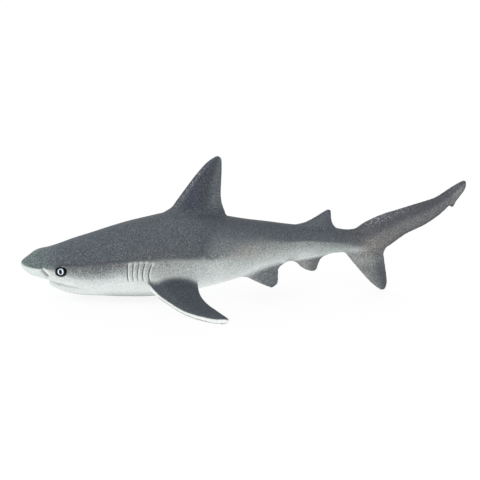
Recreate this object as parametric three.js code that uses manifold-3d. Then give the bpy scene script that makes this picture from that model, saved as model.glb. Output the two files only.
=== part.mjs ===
// Grey reef shark figure: a hand-sized toy moulded in solid PVC, which stands on a table by itself on
// its chest, the tips of its two pectoral fins and the tip of the lower lobe of its tail.
//
// Millimetres, +Z up. The nose points to -X and the left side faces -Y. While it is modelled, X is the
// distance behind the nose tip and Z the height above the table. At the end the group is moved so that
// its origin lies at the centre of the base of its box.
import * as THREE from "three";
import { mergeVertices } from "three/addons/utils/BufferGeometryUtils.js";
import Module from "manifold-3d";

const wasm = await Module();
wasm.setup();

// ---------------------------------------------------------------- driving dimensions

const GAP = 0.3; // between two pieces that meet
const BODY_POINTS = 28; // round the body
const STEPS = 2; // rings for each stretch between two stations
const FOIL_POINTS = 6; // along each face of a fin, from its leading edge to its trailing edge
const BACK_POWER = 2.05; // 2 is an ellipse, and more is squarer
const BELLY_POWER = 2.1;
const FIN_EDGE = 0.8; // thickness of a fin's trailing edge
const FIN_CREST = 0.3; // where along its chord a fin is thickest

const HEAD_END = 54.2; // behind the last gill slit
const TRUNK_END = 106.6; // behind the pelvic fins
const JAW_END = 26.0; // behind the corners of the mouth
const STALK_END = { top: [134.0, 27.0], bottom: [127.6, 15.0] }; // slanted cut before the tail fin
const LOBE_CUT = 16.7; // height at which the lower lobe of the tail fin leaves the upper one

// Body stations: distance behind the nose, top of the back, bottom of the belly, half width, and the
// height at which the body is widest.
const BODY = [
  [0.0, 15.4, 13.9, 1.2, 14.5],
  [0.6, 16.1, 13.0, 2.5, 14.1],
  [2.0, 17.2, 11.6, 4.1, 13.7],
  [3.4, 18.2, 10.7, 5.3, 13.5],
  [5.2, 19.6, 9.8, 6.4, 13.4],
  [7.4, 20.5, 8.7, 7.4, 13.3],
  [11.0, 21.1, 6.0, 8.6, 13.3],
  [16.0, 22.7, 3.3, 9.9, 13.3],
  [21.0, 24.5, 1.7, 11.0, 13.5],
  [27.0, 26.3, 0.9, 11.9, 14.0],
  [35.0, 28.9, 0.4, 12.9, 14.7],
  [43.0, 31.3, -0.1, 13.5, 15.4],
  [51.0, 33.2, 0.2, 13.8, 16.2],
  [59.0, 35.0, 1.2, 13.8, 17.1],
  [67.0, 35.6, 2.9, 13.3, 18.0],
  [75.0, 34.9, 4.8, 12.3, 18.9],
  [83.0, 33.2, 6.9, 10.9, 19.8],
  [91.0, 31.9, 9.5, 9.4, 20.7],
  [99.0, 30.9, 11.8, 7.9, 21.4],
  [107.0, 29.6, 14.4, 6.5, 21.9],
  [115.0, 28.6, 16.0, 5.4, 22.1],
  [123.0, 27.4, 16.9, 4.5, 22.0],
  [131.0, 26.2, 17.1, 3.8, 21.6],
  [139.0, 27.0, 19.5, 2.6, 23.2],
];

// How far the body swings to its right: the head is turned a little to the left, and the tail to the
// right. Distance behind the nose, and the swing there.
const SWING = [
  [0, -2.5],
  [25, -0.8],
  [50, 0.0],
  [75, 0.0],
  [100, 0.9],
  [125, 4.8],
  [150, 9.4],
  [175, 15.4],
  [200, 22.0],
];

// The mouth seen from the side, and the half width of the lower jaw seen from below.
const MOUTH_LINE = [
  [6.0, 10.3],
  [8.5, 10.1],
  [11.0, 9.7],
  [14.0, 9.1],
  [17.0, 8.5],
  [20.5, 7.6],
  [24.0, 7.0],
  [28.0, 6.6],
];
const JAW = { front: 10.8, width: 8.6, length: 5.6 };

// Fins seen from the side, root to tip: leading edge x and z, trailing edge x and z, thickness.
const FIRST_DORSAL = [
  [54.8, 32.8, 85.0, 31.0, 6.0],
  [58.9, 35.7, 82.0, 34.2, 4.6],
  [62.1, 39.9, 80.1, 39.4, 3.7],
  [66.1, 45.4, 79.9, 44.5, 3.0],
  [70.4, 51.0, 80.2, 50.0, 2.3],
  [74.4, 55.3, 80.3, 54.2, 1.7],
  [77.1, 57.1, 80.2, 56.3, 1.2],
  [78.6, 57.8, 79.8, 57.2, 0.9],
];
const SECOND_DORSAL = [
  [107.4, 27.8, 130.0, 24.5, 4.4],
  [112.2, 29.7, 125.9, 27.4, 3.2],
  [116.7, 31.7, 124.4, 29.7, 2.4],
  [119.6, 33.4, 124.0, 32.2, 1.7],
  [121.9, 34.5, 123.9, 33.8, 1.2],
  [123.0, 34.8, 123.8, 34.4, 0.9],
];
const ANAL = [
  [106.9, 17.5, 125.5, 18.5, 4.2],
  [110.3, 13.2, 121.2, 15.7, 3.0],
  [112.6, 11.1, 119.2, 13.0, 2.2],
  [114.8, 10.0, 118.7, 11.2, 1.5],
  [116.6, 9.5, 118.2, 10.0, 1.0],
];
const TAIL_UPPER = [
  [130.0, 24.6, 130.0, 18.2, 5.4],
  [136.8, 28.1, 140.0, 13.0, 5.2],
  [142.6, 31.2, 146.5, 17.4, 4.2],
  [150.2, 33.5, 154.8, 23.2, 3.4],
  [157.8, 35.5, 162.4, 26.4, 2.7],
  [165.9, 37.5, 168.7, 30.3, 2.1],
  [169.2, 39.1, 172.4, 33.7, 1.8],
  [170.8, 40.1, 173.1, 34.3, 1.7],
  [172.4, 41.1, 174.3, 33.3, 1.6],
  [174.4, 42.2, 175.8, 35.9, 1.5],
  [177.0, 43.5, 177.9, 38.5, 1.3],
  [178.8, 44.0, 179.3, 40.8, 1.0],
  [179.3, 43.6, 179.7, 42.4, 0.9],
];
const TAIL_LOWER = [
  [126.0, 20.5, 147.0, 20.5, 4.6],
  [130.1, 16.3, 146.1, 15.6, 3.8],
  [132.8, 12.9, 146.5, 11.8, 3.1],
  [136.1, 8.9, 147.1, 8.2, 2.5],
  [139.4, 5.1, 147.6, 4.8, 2.0],
  [142.0, 2.5, 147.7, 2.4, 1.6],
  [144.3, 0.8, 147.3, 1.0, 1.3],
  [145.6, -0.1, 146.7, 0.1, 1.1],
];

// Paired fins, root to tip, for the left side: leading edge x, y and z, trailing edge, thickness.
const PECTORAL = [
  [48.6, -8.0, 11.3, 72.0, -7.0, 12.0, 5.6],
  [50.3, -11.7, 8.3, 70.8, -10.6, 9.8, 4.4],
  [54.1, -15.6, 5.4, 70.9, -13.8, 7.5, 3.7],
  [59.6, -20.4, 2.9, 72.1, -17.6, 5.4, 3.0],
  [65.2, -25.4, 1.2, 74.6, -22.2, 4.0, 2.4],
  [71.4, -30.0, 0.4, 77.9, -26.6, 3.0, 1.9],
  [77.4, -33.4, 0.15, 81.2, -30.8, 2.1, 1.4],
  [81.5, -34.4, 0.3, 83.3, -33.2, 1.3, 1.0],
];
const PELVIC = [
  [87.0, -3.0, 13.5, 107.5, -2.5, 18.5, 4.6],
  [89.6, -5.2, 10.0, 103.8, -4.6, 14.2, 3.4],
  [93.6, -6.6, 8.1, 102.6, -6.0, 11.6, 2.6],
  [97.4, -7.5, 6.6, 102.6, -7.1, 9.2, 1.8],
  [100.2, -8.0, 5.8, 102.3, -7.8, 7.4, 1.3],
];

const EYE = { x: 17.1, z: 13.9, sunk: 0.75, length: 5.1, height: 4.2, depth: 3.0, turn: 0.17 };
const NOSTRIL = { top: [9.3, 14.3], bottom: [11.8, 11.6], wide: 0.6, deep: 0.8 };
const GILL = { low: 10.6, high: 18.2, wide: 0.5, deep: 0.8, hook: 0.35 };

// Gill slits, front to back: place of the straight part, and how far the top leans back from it.
const GILLS = [
  [43.3, 0.2],
  [45.3, 0.4],
  [47.2, 0.8],
  [49.2, 1.1],
  [51.6, 1.7],
];

const GREY = 0x6f757b;
const DARK = 0x555b62;

// ---------------------------------------------------------------- shapes

// The row at place t of a table, on a smooth curve through its rows.
function along(rows, t) {
  const i = Math.min(Math.floor(t), rows.length - 2);
  const f = t - i;
  const [p1, p2] = [rows[i], rows[i + 1]];
  const p0 = rows[i - 1] || p1.map((v, k) => 2 * v - p2[k]);
  const p3 = rows[i + 2] || p2.map((v, k) => 2 * v - p1[k]);
  return p1.map((v, k) => {
    const slope = p2[k] - p0[k];
    const bow = 2 * p0[k] - 5 * v + 4 * p2[k] - p3[k];
    const twist = 3 * v - p0[k] - 3 * p2[k] + p3[k];
    return v + 0.5 * f * (slope + f * (bow + f * twist));
  });
}

// Every row of a table, with the ones between them.
function filled(rows, steps) {
  return Array.from({ length: (rows.length - 1) * steps + 1 }, (_, i) => along(rows, i / steps));
}

// The row of a table whose first column is x.
function at(rows, x) {
  let [low, high] = [0, rows.length - 1];
  for (let i = 0; i < 30; i++) {
    const middle = (low + high) / 2;
    if (along(rows, middle)[0] < x) low = middle;
    else high = middle;
  }
  return along(rows, low);
}

const swing = (x) => at(SWING, x)[1];

// One closed body through rings of points, with flat ends, swung like the body.
function loft(rings) {
  const n = rings[0].length;
  const centre = (ring) => [0, 1, 2].map((k) => ring.reduce((sum, p) => sum + p[k], 0) / n);
  const points = [...rings.flat(), centre(rings[0]), centre(rings.at(-1))];
  const [first, last, tail] = [points.length - 2, points.length - 1, (rings.length - 1) * n];
  const faces = [];
  for (let j = 0; j < n; j++) {
    const k = (j + 1) % n;
    faces.push([first, k, j], [last, tail + j, tail + k]);
    for (let a = 0; a < tail; a += n) faces.push([a + j, a + k, a + n + k], [a + j, a + n + k, a + n + j]);
  }
  const swung = points.map(([x, y, z]) => new THREE.Vector3(x, y + swing(x), z));
  const volume = faces.reduce((sum, [a, b, c]) => {
    return sum + swung[a].dot(new THREE.Vector3().crossVectors(swung[b], swung[c]));
  }, 0);
  const outward = volume > 0 ? faces : faces.map(([a, b, c]) => [a, c, b]);
  const vertProperties = new Float32Array(swung.flatMap((p) => p.toArray()));
  return manifold(vertProperties, new Uint32Array(outward.flat()));
}

function manifold(vertProperties, triVerts) {
  return new wasm.Manifold(new wasm.Mesh({ numProp: 3, vertProperties, triVerts }));
}

// A flat shape drawn in x and z, as thick as the figure is wide.
function prism(shape) {
  return loft([-60, 60].map((y) => shape.map(([x, z]) => [x, y, z])));
}

const block = (x0, x1, z0, z1) => prism([[x0, z0], [x1, z0], [x1, z1], [x0, z1]]);

// The body from nose to tail, made larger all round by grow.
function body(grow) {
  return loft(filled(BODY, STEPS).map(([x, top, bottom, half, widest]) => {
    return Array.from({ length: BODY_POINTS }, (_, i) => {
      const angle = (2 * Math.PI * i) / BODY_POINTS;
      const [c, s] = [Math.cos(angle), Math.sin(angle)];
      const power = 2 / (s > 0 ? BACK_POWER : BELLY_POWER);
      const rise = grow + (s > 0 ? top - widest : widest - bottom);
      const y = (half + grow) * Math.sign(c) * Math.abs(c) ** power;
      return [x, y, widest + rise * Math.sign(s) * Math.abs(s) ** power];
    });
  }));
}

// Half the width of the body at one place along it and one height.
function side(x, z) {
  const [, top, bottom, half, widest] = at(BODY, x);
  const power = z > widest ? BACK_POWER : BELLY_POWER;
  const rise = z > widest ? (z - widest) / (top - widest) : (widest - z) / (widest - bottom);
  return half * (1 - rise ** power) ** (1 / power);
}

// Half the thickness of a fin, as a share u of the way from its leading edge to its trailing edge.
function halfThickness(u, thickness) {
  const edge = Math.min(FIN_EDGE, thickness);
  if (u < FIN_CREST) return (thickness / 2) * Math.sqrt(1 - (1 - u / FIN_CREST) ** 2);
  return (thickness - (thickness - edge) * ((u - FIN_CREST) / (1 - FIN_CREST)) ** 1.3) / 2;
}

// A fin through its sections, each with a round leading edge and a thin trailing edge.
function fin(sections) {
  const rows = filled(sections, STEPS);
  const lead = rows.map((r) => new THREE.Vector3(r[0], r[1], r[2]));
  const trail = rows.map((r) => new THREE.Vector3(r[3], r[4], r[5]));
  return loft(rows.map((row, i) => {
    const [before, after] = [Math.max(i - 1, 0), Math.min(i + 1, rows.length - 1)];
    const span = lead[after].clone().add(trail[after]).sub(lead[before]).sub(trail[before]);
    const face = trail[i].clone().sub(lead[i]).cross(span).normalize();
    const point = (u, way) => {
      const offset = way * halfThickness(u, row[6]);
      return lead[i].clone().lerp(trail[i], u).addScaledVector(face, offset).toArray();
    };
    const shares = Array.from({ length: FOIL_POINTS + 1 }, (_, k) => {
      return (1 - Math.cos((Math.PI * k) / FOIL_POINTS)) / 2;
    });
    return [...shares.map((u) => point(u, 1)), ...shares.slice(1).reverse().map((u) => point(u, -1))];
  }));
}

const upright = (rows) => rows.map(([x0, z0, x1, z1, thickness]) => [x0, 0, z0, x1, 0, z1, thickness]);
const mirrored = (rows) => rows.map(([a, b, c, d, e, f, thickness]) => [a, -b, c, d, -e, f, thickness]);

// A groove in the skin along a line of x and z places: way is -1 on the left side and 1 on the right.
function groove(line, wide, deep, way) {
  return loft(line.map(([x, z], i) => {
    const [before, after] = [line[Math.max(i - 1, 0)], line[Math.min(i + 1, line.length - 1)]];
    const [dx, dz] = [after[0] - before[0], after[1] - before[1]];
    const reach = wide / 2 / Math.hypot(dx, dz);
    const corner = (across, out) => {
      return [x + across * dz * reach, way * (side(x, z) + out), z - across * dx * reach];
    };
    return [corner(-1, -deep), corner(1, -deep), corner(1, 2), corner(-1, 2)];
  }));
}

// A gill slit from its hooked foot to its top.
function gillLine([x, lean]) {
  return [0, 0.12, 0.35, 0.6, 0.8, 1].map((up) => {
    const back = up < 0.35 ? GILL.hook * (1 - up / 0.35) ** 2 : lean * ((up - 0.35) / 0.65) ** 1.5;
    return [x + back, GILL.low + up * (GILL.high - GILL.low)];
  });
}

function eye(way, grow) {
  const ball = new THREE.SphereGeometry(1, 20, 12);
  ball.rotateX(Math.PI / 2);
  ball.scale(EYE.length / 2 + grow, EYE.height / 2 + grow, EYE.depth / 2 + grow);
  ball.rotateX(Math.PI / 2);
  ball.rotateZ(way * EYE.turn);
  ball.translate(EYE.x, way * (side(EYE.x, EYE.z) - EYE.sunk) + swing(EYE.x), EYE.z);
  ball.deleteAttribute("normal");
  ball.deleteAttribute("uv");
  const whole = mergeVertices(ball, 1e-4);
  return manifold(whole.attributes.position.array, new Uint32Array(whole.index.array));
}

// ---------------------------------------------------------------- pieces

const table = block(-20, 220, -20, 0);
const fish = body(0).subtract(table);
const room = body(GAP);

// Everything ahead of x, and everything behind it, half a gap away from it.
const ahead = (x) => block(-20, x - GAP / 2, -20, 80);
const behind = (x) => block(x + GAP / 2, 220, -20, 80);

// The side of the slanted cut that reaches to far, with its face moved back by shift.
function stalkSide(far, shift) {
  const [[x1, z1], [x0, z0]] = [STALK_END.top, STALK_END.bottom];
  const face = (z) => x0 + ((z - z0) * (x1 - x0)) / (z1 - z0) + shift;
  return prism([[far, -20], [face(-20), -20], [face(80), 80], [far, 80]]);
}

// Everything below the line of the mouth, lowered by drop.
const belowMouth = (drop) => prism([...MOUTH_LINE.map(([x, z]) => [x, z - drop]), [28, -20], [6, -20]]);

// The rounded front of the lower jaw, seen from below.
function jawPlan() {
  const half = Array.from({ length: 9 }, (_, i) => [JAW.front + JAW.length * 2 * (i / 8) ** 2, i / 8]);
  const edge = half.map(([x, share]) => [x, share * JAW.width * Math.SQRT2]);
  const whole = [...edge, [40, 20], [40, -20], ...edge.slice(1).reverse().map(([x, y]) => [x, -y])];
  return loft([-20, 20].map((z) => whole.map(([x, y]) => [x, y, z])));
}

let head = fish.intersect(ahead(HEAD_END)).subtract(belowMouth(0).intersect(ahead(JAW_END + GAP)));
for (const way of [-1, 1]) {
  head = head.subtract(eye(way, GAP));
  head = head.subtract(groove([NOSTRIL.top, NOSTRIL.bottom], NOSTRIL.wide, NOSTRIL.deep, way));
  for (const slit of GILLS) head = head.subtract(groove(gillLine(slit), GILL.wide, GILL.deep, way));
}
const jaw = fish.intersect(belowMouth(GAP)).intersect(jawPlan()).intersect(ahead(JAW_END));
const trunk = fish.intersect(behind(HEAD_END)).intersect(ahead(TRUNK_END));
const stalk = fish.intersect(behind(TRUNK_END)).intersect(stalkSide(-20, -GAP / 2));

const wholeTail = fish.add(fin(upright(TAIL_UPPER))).add(fin(upright(TAIL_LOWER)));
const tailFin = wholeTail.intersect(stalkSide(220, GAP / 2)).subtract(table);
const upperLobe = tailFin.intersect(block(-20, 220, LOBE_CUT + GAP / 2, 80));
const lowerLobe = tailFin.intersect(block(-20, 220, -20, LOBE_CUT - GAP / 2));

const attached = (sections) => fin(sections).subtract(room).subtract(table);

const PIECES = [
  ["head", head, GREY, 0.6],
  ["lower_jaw", jaw, GREY, 0.6],
  ["trunk", trunk, GREY, 0.6],
  ["tail_stalk", stalk, GREY, 0.6],
  ["first_dorsal_fin", attached(upright(FIRST_DORSAL)), DARK, 0.6],
  ["second_dorsal_fin", attached(upright(SECOND_DORSAL)), DARK, 0.6],
  ["anal_fin", attached(upright(ANAL)), GREY, 0.6],
  ["pelvic_fin_left", attached(PELVIC), GREY, 0.6],
  ["pelvic_fin_right", attached(mirrored(PELVIC)), GREY, 0.6],
  ["pectoral_fin_left", attached(PECTORAL), DARK, 0.6],
  ["pectoral_fin_right", attached(mirrored(PECTORAL)), DARK, 0.6],
  ["tail_fin_upper_lobe", upperLobe, DARK, 0.6],
  ["tail_fin_lower_lobe", lowerLobe, DARK, 0.6],
  ["eye_left", eye(-1, 0), 0x0c0d0e, 0.15],
  ["eye_right", eye(1, 0), 0x0c0d0e, 0.15],
];

const figure = new THREE.Group();
figure.name = "reef_shark_figure";
for (const [name, solid, color, roughness] of PIECES) {
  const { vertProperties, triVerts } = solid.getMesh();
  const geometry = new THREE.BufferGeometry();
  geometry.setAttribute("position", new THREE.BufferAttribute(vertProperties, 3));
  geometry.setIndex(new THREE.BufferAttribute(triVerts, 1));
  geometry.computeVertexNormals();
  const material = new THREE.MeshStandardMaterial({ color, roughness, metalness: 0 });
  const mesh = new THREE.Mesh(geometry, material);
  mesh.name = name;
  figure.add(mesh);
}

const bounds = new THREE.Box3().setFromObject(figure);
const middle = bounds.getCenter(new THREE.Vector3());
for (const mesh of figure.children) mesh.geometry.translate(-middle.x, -middle.y, -bounds.min.z);

export default figure;
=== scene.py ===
"""The looks of the toy reef shark: one painted skin over all its flesh, and two glossy eyes.

Shapes are worked out in millimetres, with x counted from the nose tip, and go back to the frame's
metres at the end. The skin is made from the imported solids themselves: they are grown until their thin
cuts close, remeshed as one body, smoothed, and drawn back to the solids' own surface.
"""

import math

import bmesh
import bpy
import numpy as np
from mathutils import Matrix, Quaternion, Vector
from mathutils.bvhtree import BVHTree


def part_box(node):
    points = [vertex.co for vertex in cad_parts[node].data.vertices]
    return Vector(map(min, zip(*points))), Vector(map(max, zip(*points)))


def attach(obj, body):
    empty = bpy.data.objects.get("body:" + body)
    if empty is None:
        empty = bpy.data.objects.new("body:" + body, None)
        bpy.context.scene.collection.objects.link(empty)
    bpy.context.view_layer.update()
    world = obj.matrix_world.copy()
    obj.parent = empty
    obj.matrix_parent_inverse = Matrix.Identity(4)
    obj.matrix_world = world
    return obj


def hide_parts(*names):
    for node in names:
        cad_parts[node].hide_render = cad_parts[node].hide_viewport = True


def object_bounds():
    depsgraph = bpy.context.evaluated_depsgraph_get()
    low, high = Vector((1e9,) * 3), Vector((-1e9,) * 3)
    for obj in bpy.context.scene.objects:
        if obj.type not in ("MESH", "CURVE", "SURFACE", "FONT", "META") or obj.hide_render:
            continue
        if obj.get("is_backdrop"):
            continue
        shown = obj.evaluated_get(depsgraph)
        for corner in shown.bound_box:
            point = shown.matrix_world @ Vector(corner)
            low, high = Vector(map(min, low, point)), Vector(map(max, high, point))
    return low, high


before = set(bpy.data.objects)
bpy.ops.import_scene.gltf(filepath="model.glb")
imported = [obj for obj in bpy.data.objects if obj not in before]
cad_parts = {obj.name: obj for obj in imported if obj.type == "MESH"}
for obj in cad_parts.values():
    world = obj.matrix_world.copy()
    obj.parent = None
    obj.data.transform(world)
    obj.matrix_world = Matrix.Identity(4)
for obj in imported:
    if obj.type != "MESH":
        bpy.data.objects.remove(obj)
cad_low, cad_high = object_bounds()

MM = 1000.0
NOSE_X = cad_low.x

# ---------------------------------------------------------------- sizes, in millimetres

VOXEL = 0.48  # mesh size of the skin
GROW = 0.25  # how far the solids are grown, which closes their 0.3 mm cuts
SURFACE_REACH = 1.5  # how far from the solids' surface a point may lie and still be drawn back to it

MIDLINE = ("head", "trunk", "tail_stalk", "tail_fin_upper_lobe")  # nodes that the midline runs through
EYES = ("eye_left", "eye_right")
FLESH = tuple(sorted(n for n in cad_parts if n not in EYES))

# Gill slits, front to back: place of the straight part, how far the top leans back, and how dark it is.
GILLS = ((43.25, 0.2, 1.0), (45.3, 0.4, 0.6), (47.2, 0.7, 0.55), (49.2, 0.95, 0.7), (51.6, 1.3, 1.0))
GILL_LOW, GILL_HIGH = 10.4, 17.5
GILL_HOOK = 0.35  # how far a slit's lower end hooks back
GILL_WIDTH = 0.19
GILL_SIDE = 8.0  # the slits lie further than this from the midline
# The raised tops of the flaps between the slits, as distance behind the nose and height, and their size.
FLAP_TOPS = ((44.5, 17.6), (46.6, 17.9), (48.7, 18.1), (51.0, 18.1), (53.4, 17.6))
FLAP_SIZE = (0.8, 0.6)
NOSTRIL = ((9.1, 14.25), (11.9, 11.5))  # the upper and lower end of its slit
MOUTH_CORNER = 24.3
# How deep the skin is cut, and how high it is raised beside the cuts and round the eye.
MOUTH_CUT, LIP = 0.34, 0.12
GILL_CUT, GILL_RIDGE, FLAP_RISE = 0.50, 0.28, 0.18
NOSTRIL_CUT, NOSTRIL_RIM = 0.5, 0.22
LID = 0.14
# How far the chest's underside is lifted, by distance behind the nose.
CHEST_LIFT = ((17, 0.0), (24, 0.3), (31, 0.48), (37, 0.5), (43, 0.66), (49, 0.5), (56, 0.3), (63, 0.0))

EYE_HALF = (2.66, 0.97, 1.88)  # half length, half depth and half height of the eyeball
EYE_OUT = 0.46  # how far it stands out of the skin
EYE_TURN = 0.16  # how far its rear end is raised, in radians
EYE_SHIFT = (-0.86, 0.0, -0.85)  # its middle from the eye solid's, besides that
# What is painted on it: middles are counted from the ball's, towards the tail and up.
IRIS_MIDDLE, IRIS_HALF, PUPIL_HALF = (0.80, 0.50), (1.31, 1.27), (0.68, 0.98)
RING_MIDDLE, RING_HALF = (0.42, 0.16), (2.08, 1.62)  # the black ring, where it runs onto the skin

# Lines of the side's paint, as distance behind the nose and height. The slate of the back ends at
# CAP_EDGE, a half tone hangs below it as far as HALF_EDGE, and the side is all but white at WHITE_LINE.
CAP_EDGE = (
    (0, 15.3), (1.5, 14.8), (3.2, 14.6), (5.4, 14.4), (8.2, 14.3), (10.1, 14.5), (11.7, 14.4),
    (13.2, 14.2), (14.6, 14.5), (17, 15.6), (19.5, 15.8), (23, 16.0), (25.4, 16.2), (28.6, 16.7),
    (32.6, 17.2), (36.5, 17.8), (40.5, 18.1), (43.6, 18.2), (48, 18.45), (52.3, 18.7), (56, 19.35),
    (60, 19.7), (64, 19.6), (68, 19.4), (72, 19.5), (74.4, 20.4), (75.3, 23.6), (76.7, 26.6),
    (79.0, 28.2), (82.8, 28.2), (87.5, 27.3), (93.4, 26.3), (99.3, 25.4), (105.3, 24.2),
    (115.4, 23.7), (123.5, 22.6), (131.7, 21.4), (135.9, 20.3), (139, 19.5),
)
HALF_EDGE = (
    (0, 15.7), (8.2, 14.2), (13.2, 14.2), (17, 15.6), (25.4, 16.2), (36.5, 17.8), (48, 18.7),
    (56, 19.4), (64, 19.6), (74, 19.3), (77, 18.6), (81, 19.2), (86, 19.9), (90, 20.7), (95, 22.0),
    (100, 22.8), (106, 23.0), (113, 23.2), (118, 23.0), (124, 22.1), (132, 21.0), (139, 19.5),
)
WHITE_LINE = (
    (0, 15.0), (8, 13.6), (12.5, 13.2), (16, 12.6), (19, 11.4), (23.5, 10.3), (30, 10.1), (35, 10.6),
    (40, 11.6), (44, 11.8), (48, 10.9), (55, 9.0), (66, 9.0), (74, 9.8), (78, 10.2), (86, 11.1),
    (95, 14.6), (106, 16.3), (116, 17.7), (126, 17.1), (132, 17.2),
)
# Tones along the side, 0 for slate and 1 for white: just above HALF_EDGE, the change of that with each
# millimetre of height, just below HALF_EDGE, and how the tone then grows down to the white.
HALF_TONE = ((74, 0.17), (78, 0.18), (82, 0.26), (86, 0.33), (92, 0.36), (98, 0.34))
HALF_SLOPE = ((74, 0.01), (79, 0.015), (86, 0.043), (98, 0.05))
LOWER_TONE = (
    (0, 1.0), (10, 0.98), (14, 0.64), (17, 0.30), (20, 0.16), (24, 0.15), (30, 0.04), (36, 0.03),
    (42, 0.14), (44, 0.42), (52, 0.42), (56, 0.30), (62, 0.36), (66, 0.40), (74, 0.53), (78, 0.61),
    (86, 0.47), (90, 0.38), (95, 0.31), (106, 0.28), (116, 0.30), (126, 0.16), (132, 0.12),
)
POWER = (
    (0, 1.15), (17, 2.0), (24, 2.0), (33, 1.8), (40, 1.4), (48, 1.1), (56, 1.0), (74, 0.8),
    (78, 0.65), (84, 0.9), (90, 1.0),
)
# How soft the two edges are, in millimetres to either side.
EDGE_SOFT = (
    (0, 0.7), (8, 0.35), (20, 0.8), (40, 0.8), (56, 1.3), (70, 1.3), (76, 2.8), (90, 2.6), (96, 2.2),
    (102, 1.4), (108, 0.6), (128, 0.6), (139, 2.0),
)
HALF_SOFT = ((74, 0.9), (77.5, 1.0), (85, 3.0), (95, 3.5), (110, 2.0), (124, 1.0))
# Upper edges of the dark spray at the roots of the pectoral and pelvic fins.
PECTORAL_SPRAY = (
    (50, 9.5), (51.8, 9.7), (53.6, 9.2), (55.5, 9.6), (58, 10.45), (60.9, 10.9), (63.9, 10.9),
    (67.3, 10.2), (70.3, 9.0), (73, 7.8),
)
PELVIC_SPRAY = ((88, 8.8), (90.5, 9.9), (93.1, 11.5), (96.2, 12.9), (99.4, 13.9), (103, 14.7))
TORSO = ("head", "trunk", "tail_stalk")
LOBE_RISE = 0.44  # slope of the tail's upper lobe, in radians
# Roots that are rounded: the fin, what it stands on, how far the round reaches, and from where to where.
ROOTS = (
    ("first_dorsal_fin", TORSO, 3.4, 50.0, 66.0),
    ("second_dorsal_fin", TORSO, 2.2, 100.0, 119.0),
    ("pelvic_fin_left", TORSO, 3.0, 80.0, 112.0),
    ("pelvic_fin_right", TORSO, 3.0, 80.0, 112.0),
    ("anal_fin", TORSO, 3.0, 104.0, 126.0),
    ("tail_fin_lower_lobe", ("tail_fin_upper_lobe",), 2.6, 141.0, 150.0),
)


def smooth(low, high, value):
    """0 at low and 1 at high, on an S curve."""
    t = np.clip((value - low) / (high - low), 0.0, 1.0)
    return t * t * (3.0 - 2.0 * t)


def bell(value, width):
    """1 at 0, falling away to either side."""
    return np.exp(-((value / width) ** 2))


def track(line, x):
    """A line's value at each x."""
    return np.interp(x, *zip(*line))


def above(line, x, z):
    """Distance from a line across it, positive above it."""
    line = np.array(line, dtype=float)
    best = np.full(len(x), 1e9)
    for (x0, z0), (x1, z1) in zip(line[:-1], line[1:]):
        dx, dz = x1 - x0, z1 - z0
        t = np.clip(((x - x0) * dx + (z - z0) * dz) / (dx * dx + dz * dz), 0.0, 1.0)
        best = np.minimum(best, np.hypot(x - x0 - t * dx, z - z0 - t * dz))
    return best * np.where(z > np.interp(x, line[:, 0], line[:, 1]), 1.0, -1.0)


# ---------------------------------------------------------------- reading the frame


def solid(name):
    """A node's corners in millimetres behind the nose, their outward normals, and its triangles."""
    bm = bmesh.new()
    bm.from_mesh(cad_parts[name].data)
    bmesh.ops.remove_doubles(bm, verts=bm.verts, dist=2e-6)
    bmesh.ops.triangulate(bm, faces=bm.faces)
    bm.normal_update()
    points = np.array([v.co[:] for v in bm.verts]) * MM - (NOSE_X * MM, 0.0, 0.0)
    normals = np.array([v.normal[:] for v in bm.verts])
    faces = np.array([[v.index for v in f.verts] for f in bm.faces])
    bm.free()
    return points, normals, faces


def joined(names, grow):
    """The corners and triangles of some nodes as one, each node grown along its normals."""
    points, faces, start = [], [], 0
    for name in names:
        p, n, f = SOLIDS[name]
        points.append(p + n * grow)
        faces.append(f + start)
        start += len(p)
    return np.concatenate(points), np.concatenate(faces)


def tree_of(points, faces):
    """Finds the nearest place on some triangles."""
    return BVHTree.FromPolygons(points.tolist(), faces.tolist())


def slices(name, along, across, steps=48):
    """The lowest and highest reach of a node along `across`, by place along `along`, and where both lie."""
    points, _, faces = SOLIDS[name]
    s, t = points @ np.array(along), points @ np.array(across)
    edges = np.concatenate([faces[:, [0, 1]], faces[:, [1, 2]], faces[:, [2, 0]]])
    a, b = s[edges[:, 0]], s[edges[:, 1]]
    places = np.linspace(s.min(), s.max(), steps + 2)[1:-1]
    ends = []
    for place in places:
        cut = (a - place) * (b - place) < 0
        share = ((place - a[cut]) / (b[cut] - a[cut]))[:, None]
        ring = points[edges[cut, 0]] * (1 - share) + points[edges[cut, 1]] * share
        reach = ring @ np.array(across)
        ends.append((ring[reach.argmin()], ring[reach.argmax()]))
    first, last = np.array(ends).transpose(1, 0, 2)
    return places, first @ np.array(across), last @ np.array(across), first, last


def from_line(points, line):
    """Distance of each point from a line in space."""
    best = np.full(len(points), 1e9)
    for a, b in zip(line[:-1], line[1:]):
        step = b - a
        t = np.clip((points - a) @ step / (step @ step), 0.0, 1.0)
        best = np.minimum(best, np.linalg.norm(points - a - t[:, None] * step, axis=1))
    return best


SOLIDS = {name: solid(name) for name in FLESH}
TREES = {name: tree_of(SOLIDS[name][0], SOLIDS[name][2]) for name in FLESH}
SURFACE = tree_of(*joined(FLESH, 0.0))


def distances(name, points, reach=4.0):
    """How far each point lies from a node, up to reach."""
    low, high = SOLIDS[name][0].min(0) - reach, SOLIDS[name][0].max(0) + reach
    out = np.full(len(points), reach)
    for i in np.nonzero(((points > low) & (points < high)).all(1))[0]:
        found = TREES[name].find_nearest(points[i], reach)
        if found[0] is not None:
            out[i] = found[3]
    return out


def distances_to_all(points):
    """How far each point lies from every node of the flesh."""
    return {name: distances(name, points) for name in FLESH}


# ---------------------------------------------------------------- the skin's shape


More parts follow.
